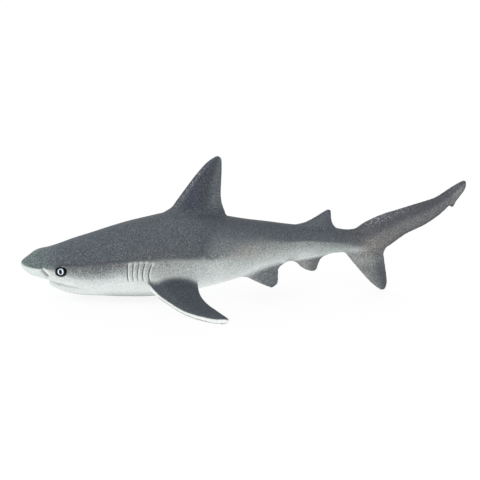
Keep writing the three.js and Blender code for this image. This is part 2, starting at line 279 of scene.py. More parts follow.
def remeshed(points, faces, size):
    """One even mesh round all the triangles."""
    mesh = bpy.data.meshes.new("skin")
    mesh.from_pydata(points.tolist(), [], faces.tolist())
    thing = bpy.data.objects.new("voxels", mesh)
    bpy.context.scene.collection.objects.link(thing)
    voxels = thing.modifiers.new("voxels", "REMESH")
    voxels.mode = "VOXEL"
    voxels.voxel_size = size
    ready = thing.evaluated_get(bpy.context.evaluated_depsgraph_get())
    mesh = bpy.data.meshes.new_from_object(ready)
    bpy.data.objects.remove(thing)
    return mesh


class Net:
    """A mesh's points, and who neighbours whom."""

    def __init__(self, mesh):
        self.mesh = mesh
        self.count = len(mesh.vertices)
        self.points = np.empty(self.count * 3)
        mesh.vertices.foreach_get("co", self.points)
        self.points = self.points.reshape(-1, 3)
        ends = np.empty(len(mesh.edges) * 2, dtype=np.int32)
        mesh.edges.foreach_get("vertices", ends)
        self.a, self.b = ends.reshape(-1, 2).T
        self.degree = np.bincount(self.a, minlength=self.count) + np.bincount(self.b, minlength=self.count)

    def average(self, values):
        """The mean of each point's neighbours."""
        columns = values.reshape(self.count, -1)
        out = np.empty_like(columns, dtype=float)
        for k in range(columns.shape[1]):
            column = columns[:, k]
            total = np.bincount(self.a, column[self.b], self.count)
            total += np.bincount(self.b, column[self.a], self.count)
            out[:, k] = total / self.degree
        return out.reshape(values.shape)

    def spread(self, values, rounds, weight=0.5):
        """Values after some rounds of moving towards their neighbours' mean."""
        for _ in range(rounds):
            values = values + (self.average(values) - values) * weight
        return values

    def normals(self):
        """Each point's normal, once the mesh has the points as they are now."""
        self.mesh.vertices.foreach_set("co", self.points.ravel())
        self.mesh.update()
        out = np.empty(self.count * 3)
        self.mesh.vertex_normals.foreach_get("vector", out)
        return out.reshape(-1, 3)

    def refine(self, chosen):
        """Splits the faces whose corners are all chosen."""
        self.normals()
        bm = bmesh.new()
        bm.from_mesh(self.mesh)
        bm.verts.ensure_lookup_table()
        edges = [e for e in bm.edges if chosen[e.verts[0].index] and chosen[e.verts[1].index]]
        bmesh.ops.subdivide_edges(bm, edges=edges, cuts=1, use_grid_fill=True)
        bm.to_mesh(self.mesh)
        bm.free()
        self.__init__(self.mesh)


def draw_to_surface(net, keep, rounds, weight):
    """Moves points along their normals to the solids' surface.

    Where keep is 1, or no surface is near, they move as their neighbours do.
    """
    normals = net.normals()
    shift, known = np.zeros(net.count), np.zeros(net.count, dtype=bool)
    for i, (p, n) in enumerate(zip(net.points, normals)):
        hit, face_normal, _, _ = SURFACE.find_nearest(p, SURFACE_REACH)
        if hit is None or keep[i] > 0.5:
            continue
        n = Vector(n)
        if face_normal.dot(n) > 0.5:
            shift[i] = (hit - Vector(p)).dot(n)
            known[i] = True
    for _ in range(60):
        shift = np.where(known, shift, net.average(shift))
    shift = net.spread(shift, rounds, weight)
    net.points = net.points + normals * shift[:, None]


net = Net(remeshed(*joined(FLESH, GROW), VOXEL))
near = distances_to_all(net.points)
by_node = np.stack([near[name] for name in FLESH])
nearest = np.array(FLESH)[by_node.argmin(axis=0)]
on_body = np.isin(nearest, (*TORSO, "lower_jaw"))
# Nodes meet where the second nearest is close too. The thin rear roots of the pectoral and second dorsal
# fins keep their corner.
meeting = smooth(1.1, 0.45, np.sort(by_node, axis=0)[1])
x = net.points[:, 0]
near_pectoral = np.minimum(near["pectoral_fin_left"], near["pectoral_fin_right"])
rear_root = smooth(67.5, 69.0, x) * smooth(2.5, 1.5, near_pectoral)
rear_root += smooth(120.0, 121.5, x) * smooth(2.5, 1.5, near["second_dorsal_fin"])
meeting = net.spread(meeting, 4) * (1.0 - 0.7 * rear_root)

# The thin rims of the fins are where normals differ most, and are smoothed less than the rest.
flat_normals = net.spread(net.normals(), 10)
bending = 1.0 - np.linalg.norm(flat_normals, axis=1)
outward = ((net.points - net.average(net.points)) * net.normals()).sum(1)
rim = net.spread(smooth(0.10, 0.35, bending) * (net.spread(outward, 4) > 0.0), 2)
rim *= 1.0 - meeting

even = np.where(on_body, 0.5, 0.30) * (1.0 - 0.92 * rim)
even = np.maximum(even, 0.5 * meeting)
net.points = net.spread(net.points, 46, even[:, None])
for _ in range(2):
    draw_to_surface(net, meeting, 24, np.maximum(0.5 * (1.0 - rim), 0.05))

# Smoothing has drawn the thin edges of the fins in a little, and the roots are rounded out.
x, _, z = net.points.T
ahead, _, upward = net.normals().T
push = np.where(np.char.startswith(nearest, "pectoral"), 0.27, 0.19)
upright = np.isin(nearest, ("first_dorsal_fin", "second_dorsal_fin", "tail_fin_lower_lobe"))
push -= (0.2 * np.maximum(ahead, 0.0) + 0.42 * np.minimum(ahead, 0.0)) * upright
push = push * rim
# The ridge along the top of the stalk and the tail's root is raised or lowered to its line.
ridge = 0.44 * bell(x - 137.8, 2.4) + 0.16 * smooth(138.5, 141.0, x) * smooth(152.0, 146.0, x)
ridge += 0.22 * bell(x - 126.5, 2.0) - 0.18 * bell(x - 132.2, 1.8)
push += ridge * smooth(0.2, 0.6, upward) * (z > 20)
turning = np.zeros(net.count)
for fin, base, reach, start, end in ROOTS:
    other = np.maximum(near[fin], np.min([near[n] for n in base], axis=0)) - GROW
    share = np.clip(1.0 - other / reach, 0.0, 1.0)
    share *= smooth(start - 1.0, start + 1.0, x) * smooth(end + 1.0, end - 1.0, x)
    turning = np.maximum(turning, share)
    push = np.maximum(push, 0.25 * reach * share ** 2)
net.points = net.points + net.normals() * push[:, None]
net.points = net.spread(net.points, 10, 0.5 * smooth(0.0, 0.3, turning)[:, None])


def swing():
    """How far the body's midline lies to one side, by distance behind the nose."""
    x, y = [], []
    for name in MIDLINE:
        places, low, high, _, _ = slices(name, (1, 0, 0), (0, 1, 0), 40)
        x.append(places)
        y.append((low + high) / 2)
    return np.concatenate(x), np.concatenate(y)


SWING = swing()


def sides(points):
    """Each point's side, -1 for the left and 1 for the right, and how far it lies from the midline."""
    across = points[:, 1] - np.interp(points[:, 0], *SWING)
    return np.sign(across), np.abs(across)


def face_region(points):
    """Where the mouth, the nostrils and the eyes lie."""
    x, _, z = points.T
    return (x > 6.5) & (x < 27.5) & (z < 18.5) & (sides(points)[1] > 2.0)


def gill_region(points, margin=0.0):
    """Where the gill slits lie."""
    x, _, z = points.T
    slant = np.clip((z - 13) / 5, 0, 1) * 1.6
    in_length = (x > 42.0 + margin) & (x < 53.2 + slant - margin)
    return in_length & (z > 9.6 + margin) & (z < 19.2 - margin) & (sides(points)[1] > GILL_SIDE)


# A finer mesh for the face, and one finer again for the gills.
net.refine(face_region(net.points) | gill_region(net.points))
net.refine(gill_region(net.points, 0.3))
fine = net.spread((face_region(net.points) | gill_region(net.points)).astype(float), 3)
net.points = net.spread(net.points, 16, 0.5 * fine[:, None])

near = distances_to_all(net.points)
x, _, z = net.points.T
aside = sides(net.points)[1]
normals = net.normals()

# Mouth: a crease where the jaw meets the head, under a soft upper lip. The seam is 0 along the crease and
# grows upwards from it.
seam = near["lower_jaw"] - near["head"] + 0.3
in_mouth = smooth(MOUTH_CORNER + 0.6, MOUTH_CORNER - 2.0, x) * (near["lower_jaw"] < 3.5)
in_mouth *= smooth(2.5, 1.2, np.minimum(near["lower_jaw"], near["head"]))
shift = (LIP * bell(seam - 0.9, 0.6) - MOUTH_CUT * bell(seam, 0.42)) * in_mouth


def gill_place(z, place, lean):
    """Where a gill slit lies at each height: straight, with its lower end hooked and its top leaning."""
    up = np.clip((z - GILL_LOW) / (GILL_HIGH - GILL_LOW), 0.0, 1.0)
    hook = GILL_HOOK * np.clip(1.0 - up / 0.35, 0.0, 1.0) ** 2
    return place + hook + lean * (np.maximum(up - 0.35, 0.0) / 0.65) ** 1.5


# Each slit gets dark paint, and the raised flap just behind it gets a thin painted highlight.
gill_wash, gill_flap_highlight = np.zeros(net.count), np.zeros(net.count)
for place, lean, dark in GILLS:
    behind = x - gill_place(z, place, lean)
    ends = smooth(GILL_LOW - 0.5, GILL_LOW + 0.5, z) * smooth(GILL_HIGH + 0.7, GILL_HIGH - 0.5, z)
    ends *= aside > GILL_SIDE
    ridge = np.where(behind > 0, np.exp(-np.maximum(behind, 0) / 0.9), 0.0)
    shift += ends * (GILL_RIDGE * ridge * smooth(0.05, 0.35, behind) - GILL_CUT * bell(behind, GILL_WIDTH))
    shade = dark - 0.35 * smooth(14.5, 16.5, z) * (dark > 0.9)
    gill_wash = np.maximum(gill_wash, shade * ends * bell(behind, GILL_WIDTH))
    gill_flap_highlight = np.maximum(gill_flap_highlight, ends * bell(behind - 0.55, 0.3))
flap_top = np.zeros(net.count)
for top_x, top_z in FLAP_TOPS:
    from_top = np.hypot((x - top_x) / FLAP_SIZE[0], (z - top_z) / FLAP_SIZE[1])
    flap_top = np.maximum(flap_top, bell(from_top, 1.0) * (aside > GILL_SIDE))
shift += FLAP_RISE * flap_top


def nostril_place(points):
    """Share of the way along the nostril's slit, and distance across it."""
    (x0, z0), (x1, z1) = NOSTRIL
    length = math.hypot(x1 - x0, z1 - z0)
    dx, dz = (x1 - x0) / length, (z1 - z0) / length
    along = (points[:, 0] - x0) * dx + (points[:, 2] - z0) * dz
    across = -(points[:, 0] - x0) * dz + (points[:, 2] - z0) * dx
    return along / length, across


along, across = nostril_place(net.points)
in_nostril = smooth(-0.12, 0.15, along) * smooth(1.12, 0.85, along) * (aside > 4.0) * (near["head"] < 2)
shift += NOSTRIL_RIM * in_nostril * bell(across - 0.85, 0.45) * (across > 0)
shift -= NOSTRIL_CUT * in_nostril * bell(across, 0.38)
# Painted shade in the nostril's groove, and a painted highlight on its raised rim.
nostril_shade = in_nostril * np.where(across < 0, bell(across, 1.0), bell(across, 0.30))
nostril_rim_highlight = in_nostril * (across > 0) * bell(across - 0.85, 0.5)

net.points = net.points + normals * shift[:, None]

# The eye: a low lid round the ball. The black ring's paint runs a little way onto the skin, a thin painted
# arc of light lies behind it, and the skin above it is painted lighter.
eye_places = {}
lid, spill, glint, eye_top = (np.zeros(net.count) for _ in range(4))
for name in EYES:
    low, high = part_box(name)
    middle = np.array(((Vector(low) + Vector(high)) / 2)[:]) * MM - (NOSE_X * MM, 0.0, 0.0)
    offset = net.points - middle - EYE_SHIFT
    behind, _, over_eye = offset.T
    r = np.hypot(behind / EYE_HALF[0], over_eye / EYE_HALF[2])
    near_eye = (np.abs(offset[:, 1]) < 4.0) & (r < 4)
    round_it = near_eye & (np.abs(r - 1.3) < 0.2)
    outward = normals[round_it].mean(axis=0)
    outward /= np.linalg.norm(outward)
    out = (net.points[round_it].mean(axis=0) - middle) @ outward + EYE_OUT - EYE_HALF[1]
    ball_middle = (middle + outward * out + EYE_SHIFT) / MM + (NOSE_X, 0.0, 0.0)
    eye_places[name] = Vector(ball_middle), Vector(outward)
    lid = np.maximum(lid, near_eye * bell(r - 1.10, 0.16))

    way = -np.sign(outward[1])
    tailward = way * np.array([-outward[1], outward[0], 0.0]) / math.hypot(outward[0], outward[1])
    skyward = way * np.cross(outward, tailward)
    from_ball = offset - outward * out
    along_ring = (from_ball @ tailward - RING_MIDDLE[0]) / RING_HALF[0]
    ring_reach = np.hypot(along_ring, (from_ball @ skyward - RING_MIDDLE[1]) / RING_HALF[1])
    spill = np.maximum(spill, near_eye * smooth(1.05, 0.95, ring_reach))
    arc = np.clip(1.3 * near_eye * bell(ring_reach - 1.2, 0.14), 0.0, 1.0)
    glint = np.maximum(glint, arc * smooth(0.3, 1.2, behind) * (over_eye > -0.5))
    brow = bell(np.hypot((behind + 3.6) / 1.9, (over_eye - 2.1) / 1.3), 1.0)
    brow = np.maximum(brow, 0.9 * bell(r - 1.25, 0.25) * smooth(0.2, 0.8, over_eye))
    eye_top = np.maximum(eye_top, near_eye * brow)
net.points = net.points + net.normals() * (LID * lid)[:, None]

# The chest's underside curves up a little from the flat that it rests on.
x, _, z = net.points.T
aside = sides(net.points)[1]
net.points[:, 2] += track(CHEST_LIFT, x) * smooth(4.5, 0.5, z) * (0.6 + 0.4 * smooth(0.5, 3.0, aside))
net.points[:, 2] = np.maximum(net.points[:, 2], 0.0)
normals = net.normals()

# ---------------------------------------------------------------- the paint's masks

x, y, z = net.points.T
side, aside = sides(net.points)
near = distances_to_all(net.points)
facing_down = -normals[:, 2]

# Two coats are kept for each point, under and over, and the distance from the edge between them: the
# shader draws the edge itself, so that it stays crisp between the mesh's corners.
half, white, up = track(HALF_EDGE, x), track(WHITE_LINE, x), z - track(CAP_EDGE, x)
lower = track(LOWER_TONE, x)
depth = np.clip((half - z) / (half - white), 0.0, 1.0)
lower = lower + (0.86 - np.minimum(lower, 0.86)) * depth ** track(POWER, x)
lower = lower + (1.0 - lower) * smooth(0.0, 3.0, white - z)
middle = track(HALF_TONE, x) - track(HALF_SLOPE, x) * (z - half)
from_half = above(HALF_EDGE, x, z) / track(HALF_SOFT, x)
under = lower + (middle - lower) * smooth(-1.0, 1.0, from_half) * (x > 74)
# The underside is darker where it turns away from the light: all along, under the chest, before and
# behind the anal fin, and under the jaw. The lip above the mouth is lighter.
chest = smooth(29.0, 38.0, x) * smooth(66.0, 58.0, x)
under = under - 0.40 * (1 - chest) * np.clip((3.6 - z) / 2.4, 0.0, 1.0) ** 1.3
under = under - 0.58 * chest * np.clip((5.8 - z) / 4.2, 0.0, 1.0) ** 1.3
under -= 0.16 * smooth(0.45, 0.95, facing_down) * smooth(98.0, 108.0, x)
under -= 0.24 * smooth(0.2, 0.8, facing_down) * smooth(97.0, 102.0, x) * smooth(112.0, 107.0, x)
under -= 0.13 * smooth(0.0, 0.6, facing_down) * bell(x - 120.0, 5.0)
under -= 0.20 * bell(x - 26.5, 5.0) * smooth(4.0, 2.0, z)
under += 0.08 * bell(x - 20.5, 3.0) * bell(z - 9.1, 0.9)

# The slate deepens towards the back and behind the gills, and pales towards the snout.
over = -0.10 - 0.12 * smooth(0.3, 4.5, up) * smooth(66.0, 80.0, x)
over -= 0.05 * bell(x - 78, 5) * bell(z - 34, 3)
# Where the back faces straight up it is painted a little darker, as painted shade.
over -= 0.06 * smooth(0.75, 0.95, normals[:, 2]) * smooth(24.0, 32.0, x)
over += 0.19 * smooth(20.0, 6.0, x)
over -= 0.10 * bell(up - 0.5, 0.6) * smooth(13.5, 15.0, x) * smooth(46.0, 42.0, x)
edge = above(CAP_EDGE, x, z) / track(EDGE_SOFT, x)

# Hue: tint is purple above 0 and green below, and warm is brown.
tint = 0.15 * smooth(3.0, 7.0, up) - 1.0 * smooth(16, 5, x)
tint -= 0.5 * bell(x - 124.0, 6.0) * smooth(0.0, -2.0, up)
warm = 0.35 * bell(up - 0.5, 2.0) * (x > 14) + 0.5 * bell(x - 32, 14) * bell(up + 1.0, 2.0)
warm += 0.35 * smooth(34.0, 50.0, x) * smooth(146.0, 134.0, x) * smooth(0.5, 2.5, up)
warm += 0.7 * smooth(127.0, 134.0, x) * smooth(143.0, 134.0, x) * smooth(0.0, 2.0, up)
warm += 0.75 * bell(x - 90, 12) * bell(z - 21.5, 3.5) + 0.3 * bell(x - 56, 14) * smooth(9.0, 1.0, up)

# How much the paint's dots show, sparkles of painted highlight, and dark washes and painted shade.
grain = (1.0 - 0.20 * smooth(70.0, 84.0, x)) * (1.0 - 0.35 * bell(x - 88.0, 9.0) * bell(up + 3.0, 3.0))
highlight_sparkle = np.zeros(net.count)


def fin_places(name, along, across):
    """Distance behind a fin's leading edge, the same as a share of its chord, and share of its span."""
    places, low, high, _, _ = slices(name, along, across)
    s, t = net.points @ np.array(along), net.points @ np.array(across)
    lead, trail = np.interp(s, places, low), np.interp(s, places, high)
    return t - lead, (t - lead) / np.maximum(trail - lead, 0.3), (s - places[0]) / (places[-1] - places[0])


def lay(mask, value):
    """Lays a tone over both coats."""
    global under, over
    under = under + (value - under) * mask
    over = over + (value - over) * mask


# First dorsal fin: a slate band with sparkles of painted highlight leads it, a dark purple core follows,
# purple paint darkened with painted shade, and it pales again towards the back.
back, u, v = fin_places("first_dorsal_fin", (0, 0, 1), (1, 0, 0))
mask = smooth(3.0, 0.3, near["first_dorsal_fin"]) * smooth(-0.06, 0.24, v)
band = 1.6 + 2.2 * (1.0 - v)
core = smooth(band * 0.7, band * 1.3, back) * smooth(0.85, 0.5, u)
shade = -0.155 - 0.22 * core + 0.12 * smooth(0.6, 0.85, u)
lay(mask, shade - 0.25 * smooth(0.94, 1.0, u) * smooth(0.4, 0.7, v))
tint += mask * (0.6 * core * smooth(0.7, 0.3, u) - 0.2 * smooth(0.4, 0.0, v) * smooth(0.4, 0.7, u))
edge_highlight = bell(back - band * 0.55, 0.8) * smooth(0.95, 0.75, v) * smooth(0.0, 0.15, v)
highlight_sparkle = np.maximum(highlight_sparkle, mask * edge_highlight)

# Second dorsal fin.
_, u, v = fin_places("second_dorsal_fin", (0, 0, 1), (1, 0, 0))
mask = smooth(2.0, 0.2, near["second_dorsal_fin"])
shade = -0.17 - 0.08 * smooth(0.35, 0.05, u) - 0.1 * smooth(0.8, 1.0, v)
lay(mask, shade + 0.14 * bell(u - 0.5, 0.3) * smooth(0.0, 0.3, v))
# Sparkles of painted highlight along its leading edge.
highlight_sparkle = np.maximum(highlight_sparkle, mask * smooth(0.3, 0.1, u) * 0.4)

# Tail fin, upper lobe: purple-grey along its top, a little paler below, and paler again near the tip.
outward = (math.cos(LOBE_RISE), 0.0, math.sin(LOBE_RISE))
downward = (math.sin(LOBE_RISE), 0.0, -math.cos(LOBE_RISE))
_, u, v = fin_places("tail_fin_upper_lobe", outward, downward)
mask = smooth(133.0, 142.0, x) * smooth(1.6, 0.2, near["tail_fin_upper_lobe"])
shade = -0.09 + 0.28 * smooth(0.30, 0.60, u) - 0.16 * smooth(0.80, 1.0, u) - 0.10 * smooth(0.15, 0.4, v)
shade += 0.14 * smooth(0.85, 0.94, v) * (1.0 - 0.4 * u) - 0.12 * smooth(0.97, 1.0, v)
shade -= 0.05 * bell(v - 0.72, 0.15) + 0.06 * smooth(0.35, 0.1, u) * smooth(0.4, 0.2, v)
lay(mask, shade)
# The light below the stalk's slate runs on as a wedge into the lobe.
wedge = smooth(146.0, 132.0, x) * bell(z - 17.0, 1.6) * (x > 126)
lay(0.7 * wedge * smooth(1.2, 0.2, near["tail_fin_upper_lobe"]), 0.45)
tint += mask * (0.5 * smooth(0.6, 0.15, u) - 0.3 * smooth(0.82, 0.95, v))
warm += mask * (1.05 - 0.3 * smooth(0.6, 0.9, v) * smooth(0.5, 0.3, u))
# Sparkles of painted highlight along the lobe's top edge, towards the root.
highlight_sparkle = np.maximum(highlight_sparkle, mask * smooth(0.28, 0.08, u) * smooth(0.65, 0.4, v))

# Tail fin, lower lobe: pale in front and dark along its back edge.
_, u, v = fin_places("tail_fin_lower_lobe", (0, 0, -1), (1, 0, 0))
mask = smooth(19.0, 15.5, z) * smooth(1.5, 0.2, near["tail_fin_lower_lobe"])
shade = 0.31 - 0.15 * smooth(0.15, 0.5, u) - 0.14 * smooth(0.4, 1.0, v)
shade -= 0.26 * smooth(0.5, 0.85, u) * (1.0 - 0.5 * smooth(0.4, 0.15, v))
shade -= 0.08 * bell(v - 0.42, 0.12) * smooth(0.5, 0.2, u) + 0.06 * bell(v - 0.6, 0.2) * smooth(0.1, 0.4, u)
lay(mask, shade + 0.16 * bell(v - 0.2, 0.15) * bell(u - 0.5, 0.3))
warm += mask * (0.7 - 0.35 * smooth(0.4, 0.1, u))

# Anal fin.
_, u, v = fin_places("anal_fin", (0, 0, -1), (1, 0, 0))
mask = smooth(1.8, 0.2, near["anal_fin"]) * smooth(16.6, 14.5, z - 0.08 * (x - 112))
lay(mask, 0.32 - 0.28 * smooth(0.25, 0.9, u) - 0.12 * smooth(0.7, 1.0, v))
warm += 0.7 * mask

# Pelvic fins.
for name in ("pelvic_fin_left", "pelvic_fin_right"):
    _, u, v = fin_places(name, (0, 0, -1), (1, 0, 0))
    mask = smooth(3.6, 0.6, near[name]) * smooth(2.2, -1.2, above(PELVIC_SPRAY, x, z))
    lay(mask, 0.10 + 0.26 * smooth(0.45, 0.05, u) - 0.06 * smooth(0.5, 0.9, u) - 0.10 * smooth(0.7, 1.0, v))
    warm += 0.3 * mask

# Pectoral fins: dark above, white below and along the leading edge, with a soft dark spray on the body.
# The edge of the dark coat is the nearest of several limits.
for name, way in (("pectoral_fin_left", -1.0), ("pectoral_fin_right", 1.0)):
    _, u, v = fin_places(name, (0, way, 0), (1, 0, 0))
    places, _, _, first, last = slices(name, (0, way, 0), (1, 0, 0), 30)
    span = y * way
    chord_z = np.interp(span, places, first[:, 2]) * (1 - u) + np.interp(span, places, last[:, 2]) * u
    height = z - chord_z
    ours = side == way
    out = smooth(12.9, 13.8, aside)
    tip = SOLIDS[name][0][np.argmax(SOLIDS[name][0] @ (0.3, way, 0))]
    from_front = from_line(net.points, np.vstack([first, tip]))
    white_band = 1.15 + 0.5 * smooth(0.3, 0.0, v) + 0.35 * smooth(0.6, 0.95, v)
    limits = (
        (from_front - white_band) / 0.35,
        (height + 0.05) / 0.2,
        (0.4 - above(PECTORAL_SPRAY, x, z)) / 1.5,
        (x - 51.4) / 0.5,
        (70.9 - x) / 0.6 + 20.0 * out,
        (3.2 - near[name]) / 0.6,
        (z - 6.9) / 0.4 + 20.0 * smooth(52.0, 53.5, x),
    )
    zone = ours * smooth(5.0, 4.0, near[name]) * smooth(15.0, 13.5, z)
    edge = np.where(zone > 0, np.maximum(edge, np.min(limits, axis=0)), edge)
    shade = -0.335 + 0.10 * smooth(0.45, 0.2, u) + 0.12 * smooth(0.7, 0.95, v)
    over = over + (shade - over) * zone
    # A thin painted shade runs along the underside of the leading edge, where it faces down, on the
    # otherwise white underside.
    shaded = 0.75 * smooth(0.05, 0.35, facing_down) * smooth(1.6, 0.6, from_front) * smooth(54.0, 57.0, x)
    grain = grain * (1.0 - 0.22 * zone * (out > 0.5))
    under = under + (1.15 - shaded - under) * out * ours * (near[name] < 1.5)

# Dark paint in the gill slits, painted shade in the nostril and under the upper lip along the mouth,
# painted highlights on the gill flaps, on the nostril's rim and in an arc beside the eye, lighter skin
# above the eye, and the eye's black ring painted onto the skin.
wash_and_shade = np.maximum(0.85 * gill_wash, 0.6 * nostril_shade)
# Painted shade under the upper lip, along the mouth.
mouth_shade = bell(seam + 0.15, 0.75) * (0.20 + 0.20 * bell(x - 15, 3.0)) * smooth(25.0, 21.0, x)
wash_and_shade = np.maximum(wash_and_shade, mouth_shade * (near["lower_jaw"] < 3.5) * (aside > 2.0) * smooth(6.0, 9.0, x))
# Painted highlights on the gill flaps and on their raised tops.
under = under + 0.24 * gill_flap_highlight * (1 - wash_and_shade) + (0.80 - under) * 0.9 * flap_top
over = over + (0.75 - over) * 0.9 * flap_top
over = over + (0.20 - over) * 0.75 * eye_top
# A painted highlight on the nostril's raised rim.
over, under = over + (0.95 - over) * nostril_rim_highlight, under + (1.08 - under) * nostril_rim_highlight
lay(glint, 1.0)
lay(spill, -1.0)
grain = grain * (1.0 - spill)

# ---------------------------------------------------------------- the skin as an object


def set_mask(mesh, name, values):
    """Keeps one number for each of the mesh's corners, which a material reads by name."""
    attribute = mesh.attributes.new(name, "FLOAT", "POINT")
    attribute.data.foreach_set("value", np.asarray(values, dtype=np.float32))


mesh = net.mesh
set_mask(mesh, "under", under)
set_mask(mesh, "over", over)
set_mask(mesh, "edge", edge)
set_mask(mesh, "tint", tint)
set_mask(mesh, "warm", warm)
set_mask(mesh, "highlight_sparkle", highlight_sparkle)
set_mask(mesh, "wash_and_shade", wash_and_shade)
set_mask(mesh, "grain", grain)
final = net.points / MM + (NOSE_X, 0.0, 0.0)
final = np.clip(final, np.array(cad_low[:]), np.array(cad_high[:]))
mesh.vertices.foreach_set("co", final.ravel())
mesh.update()
mesh.shade_smooth()
mesh.name = "skin"
skin = bpy.data.objects.new("skin", mesh)
bpy.context.scene.collection.objects.link(skin)

# ---------------------------------------------------------------- materials


class Shader:
    """Short calls for building a material's nodes."""

    def __init__(self, name):
        self.material = bpy.data.materials.new(name)
        self.material.use_nodes = True
        self.nodes = self.material.node_tree.nodes
        self.links = self.material.node_tree.links
        self.surface = self.nodes["Principled BSDF"]

    def put(self, socket, value):
        if isinstance(value, bpy.types.NodeSocket):
            self.links.new(value, socket)
        elif value is not None:
            socket.default_value = value

    def node(self, kind, *values, **settings):
        made = self.nodes.new(kind)
        for key, value in settings.items():
            setattr(made, key, value)
        for socket, value in zip(made.inputs, values):
            self.put(socket, value)
        return made

    def math(self, operation, a, b=0.0, clamp=False):
        return self.node("ShaderNodeMath", a, b, operation=operation, use_clamp=clamp).outputs[0]

    def mask(self, name):
        return self.node("ShaderNodeAttribute", attribute_name=name).outputs["Fac"]

    def step(self, value, low, high):
        made = self.node("ShaderNodeMapRange", value, low, high, interpolation_type="SMOOTHSTEP")
        return made.outputs[0]

    def noise(self, millimetres, detail=2.0, roughness=0.5, offset=0.0):
        """Noise between about -0.5 and 0.5, with features of a given size."""
        place = self.node("ShaderNodeTexCoord").outputs["Object"]
        moved = self.node("ShaderNodeVectorMath", place, (offset, offset, offset), operation="ADD")
        made = self.node("ShaderNodeTexNoise")
        self.put(made.inputs["Vector"], moved.outputs[0])
        self.put(made.inputs["Scale"], MM / millimetres)
        self.put(made.inputs["Detail"], detail)
        self.put(made.inputs["Roughness"], roughness)
        return self.math("SUBTRACT", made.outputs["Fac"], 0.5)

    def ramp(self, factor, stops):
        made = self.node("ShaderNodeValToRGB", factor)
        band = made.color_ramp
        while len(band.elements) < len(stops):
            band.elements.new(0.5)
        for element, (place, colour) in zip(band.elements, stops):
            element.position = place
            element.color = (*colour, 1.0)
        return made.outputs["Color"]

    def mix(self, factor, a, b, kind="MIX"):
        made = self.nodes.new("ShaderNodeMix")
        made.data_type, made.blend_type = "RGBA", kind
        self.put(made.inputs["Factor"], factor)
        colours = [s for s in made.inputs if s.type == "RGBA"]
        for socket, value in zip(colours, (a, b)):
            self.put(socket, (*value, 1.0) if isinstance(value, tuple) else value)
        return next(s for s in made.outputs if s.type == "RGBA")


def display(red, green, blue):
    """A linear colour from its display values of 0 to 255."""
    return tuple(((c / 255 + 0.055) / 1.055) ** 2.4 for c in (red, green, blue))


def skin_material():
    s = Shader("painted_vinyl")
    coarse = s.math("MULTIPLY", s.noise(0.6, 1.0, 0.5, 0.021), 0.35)
    speckle = s.math("ADD", s.noise(0.36, 1.0, 0.6), coarse)
    mottle = s.noise(2.6, 3.0, 0.6, 0.013)
    edge = s.step(s.math("ADD", s.mask("edge"), s.math("MULTIPLY", speckle, 2.2)), -1.0, 1.0)
    under, over = s.mask("under"), s.mask("over")
    tone = s.math("ADD", under, s.math("MULTIPLY", edge, s.math("SUBTRACT", over, under)))
    # Airbrushed paint lies in dots, which show most where grey thins out over white.
    thin = s.math("MAXIMUM", s.math("MULTIPLY", tone, s.math("SUBTRACT", 1.0, tone)), 0.0)
    amount = s.math("SUBTRACT", 1.35, s.math("MULTIPLY", tone, 0.8))
    amount = s.math("ADD", s.math("MULTIPLY", thin, 1.3), amount)
    dots = s.math("MULTIPLY", speckle, s.math("MULTIPLY", s.mask("grain"), amount))
    drift = s.math("MULTIPLY", mottle, 0.10)
    level = s.math("ADD", s.math("ADD", tone, dots), drift)
    colour = s.ramp(
        s.math("DIVIDE", s.math("ADD", level, 1.0), 2.2),
        (
            (0.0, display(30, 32, 36)),
            (0.273, display(65, 70, 77)),
            (0.455, display(89, 98, 104)),
            (0.545, display(119, 125, 126)),
            (0.727, display(171, 178, 177)),
            (0.909, display(224, 231, 229)),
            (1.0, display(249, 252, 251)),
        ),
    )
    hue = s.math("ADD", s.mask("tint"), s.math("MULTIPLY", s.noise(4.0, 2.0, 0.5, 0.07), 1.5))
    purple = s.mix(1.0, colour, (0.62, 0.55, 0.74), "SOFT_LIGHT")
    green = s.mix(1.0, colour, (0.48, 0.60, 0.53), "SOFT_LIGHT")
    brown = s.mix(1.0, colour, (0.60, 0.50, 0.47), "SOFT_LIGHT")
    colour = s.mix(s.math("MULTIPLY", hue, 0.5, clamp=True), colour, purple)
    colour = s.mix(s.math("MULTIPLY", hue, -0.5, clamp=True), colour, green)
    colour = s.mix(s.math("MULTIPLY", s.mask("warm"), 0.8, clamp=True), colour, brown)
    # Sparkles of painted highlight, where their mask is set.
    sparks = s.step(s.noise(0.42, 1.0, 0.5, 0.031), 0.06, 0.2)
    sparks = s.math("MULTIPLY", sparks, s.math("MULTIPLY", s.mask("highlight_sparkle"), 0.85), clamp=True)
    colour = s.mix(sparks, colour, display(190, 188, 200))
    # Dark paint in the gill slits, and painted shade in the nostril and along the mouth.
    wash_and_shade = s.math("ADD", 1.0, s.math("MULTIPLY", speckle, 1.6))
    wash_and_shade = s.math("MULTIPLY", s.mask("wash_and_shade"), wash_and_shade, clamp=True)
    colour = s.mix(wash_and_shade, colour, display(66, 72, 70))
    s.put(s.surface.inputs["Base Color"], colour)
    s.put(s.surface.inputs["Roughness"], 0.6)
    s.put(s.surface.inputs["Specular IOR Level"], 0.18)
    bump = s.node("ShaderNodeBump")
    s.put(bump.inputs["Strength"], 0.6)
    s.put(bump.inputs["Distance"], 0.00008)
    s.put(bump.inputs["Height"], s.math("ADD", s.noise(0.4, 2.0, 0.6, 0.02), s.noise(0.9, 2.0, 0.5, 0.05)))
    s.put(s.surface.inputs["Normal"], bump.outputs["Normal"])
    return s.material


skin.data.materials.append(skin_material())
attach(skin, "root")
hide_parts(*FLESH)


